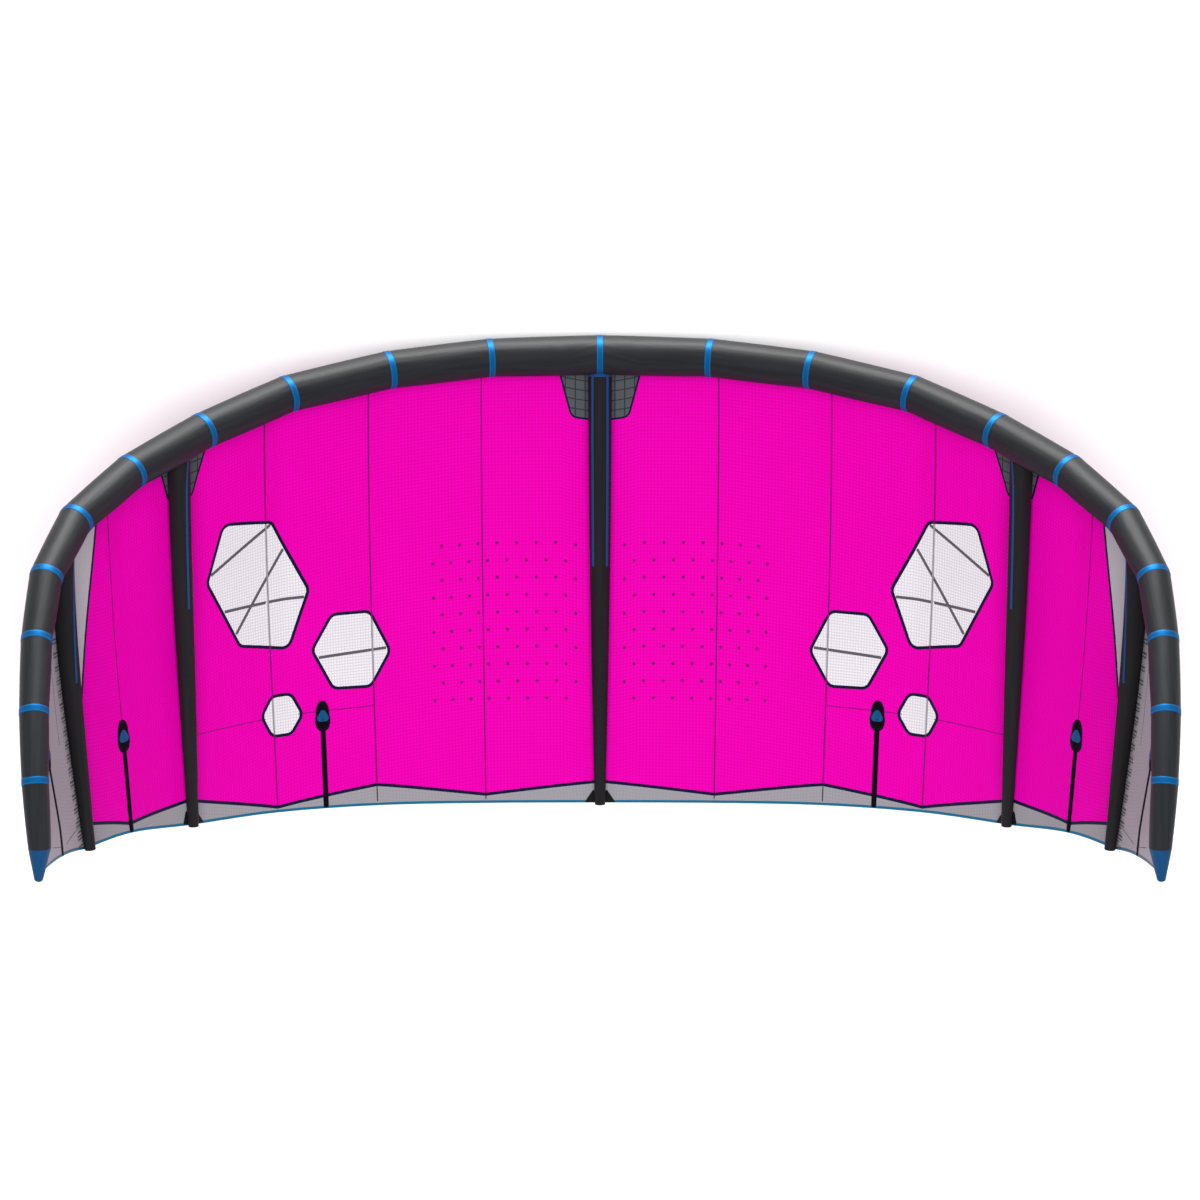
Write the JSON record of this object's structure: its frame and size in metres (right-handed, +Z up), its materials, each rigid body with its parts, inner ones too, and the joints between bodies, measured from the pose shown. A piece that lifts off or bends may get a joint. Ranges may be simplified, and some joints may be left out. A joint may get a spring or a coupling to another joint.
{
  "type": "kitesurfing kite",
  "caption": "Inflatable kitesurfing kite lying on its back: an arched leading-edge tube with seam bands, tapering struts and a ripstop canopy with grey trailing edge and tips.",
  "frame": {"origin": "on the floor, under the middle of the kite's bounding box", "axes": "+X along the span from the left tip to the right tip as seen from behind, +Y towards the leading edge, +Z up out of the hollow side"},
  "size_m": [4.226, 1.9754, 1.9736],
  "materials": {
    "tube_cloth": "satin woven polyester, charcoal",
    "band_cloth": "smooth blue tape",
    "cap_cloth": "satin woven polyester, dark blue",
    "strut_cloth": "satin woven polyester, near black",
    "canopy_cloth": "coated ripstop, magenta",
    "tip_cloth": "coated ripstop, grey",
    "binding_tape": "woven tape, teal blue",
    "batten_cloth": "woven pocket cloth, black"
  },
  "bodies": {
    "root": {"leading_edge": "tube_cloth", "seam_band_0_middle": "band_cloth", "strut_middle": "strut_cloth", "trailing_edge_binding": "binding_tape", "seam_band_1_left": "band_cloth", "seam_band_2_left": "band_cloth", "seam_band_3_left": "band_cloth", "seam_band_4_left": "band_cloth", "seam_band_5_left": "band_cloth", "seam_band_6_left": "band_cloth", "seam_band_7_left": "band_cloth", "seam_band_8_left": "band_cloth", "seam_band_9_left": "band_cloth", "seam_band_10_left": "band_cloth", "tip_cap_left": "cap_cloth", "strut_inner_left": "strut_cloth", "strut_outer_left": "strut_cloth", "canopy_panel_1_left": "canopy_cloth", "canopy_panel_2_left": "canopy_cloth", "canopy_panel_3_left": "canopy_cloth", "canopy_panel_4_left": "canopy_cloth", "canopy_panel_5_left": "canopy_cloth", "canopy_panel_6_left": "canopy_cloth", "narrow_panel_left": "tip_cloth", "tip_panel_left": "tip_cloth", "trailing_strip_left": "tip_cloth", "batten_inner_left": "batten_cloth", "batten_patch_inner_left": "batten_cloth", "batten_outer_left": "batten_cloth", "batten_patch_outer_left": "batten_cloth", "batten_tip_left": "batten_cloth", "batten_patch_tip_left": "batten_cloth", "seam_band_1_right": "band_cloth", "seam_band_2_right": "band_cloth", "seam_band_3_right": "band_cloth", "seam_band_4_right": "band_cloth", "seam_band_5_right": "band_cloth", "seam_band_6_right": "band_cloth", "seam_band_7_right": "band_cloth", "seam_band_8_right": "band_cloth", "seam_band_9_right": "band_cloth", "seam_band_10_right": "band_cloth", "tip_cap_right": "cap_cloth", "strut_inner_right": "strut_cloth", "strut_outer_right": "strut_cloth", "canopy_panel_1_right": "canopy_cloth", "canopy_panel_2_right": "canopy_cloth", "canopy_panel_3_right": "canopy_cloth", "canopy_panel_4_right": "canopy_cloth", "canopy_panel_5_right": "canopy_cloth", "canopy_panel_6_right": "canopy_cloth", "narrow_panel_right": "tip_cloth", "tip_panel_right": "tip_cloth", "trailing_strip_right": "tip_cloth", "batten_inner_right": "batten_cloth", "batten_patch_inner_right": "batten_cloth", "batten_outer_right": "batten_cloth", "batten_patch_outer_right": "batten_cloth", "batten_tip_right": "batten_cloth", "batten_patch_tip_right": "batten_cloth"}
  },
  "joints": []
}
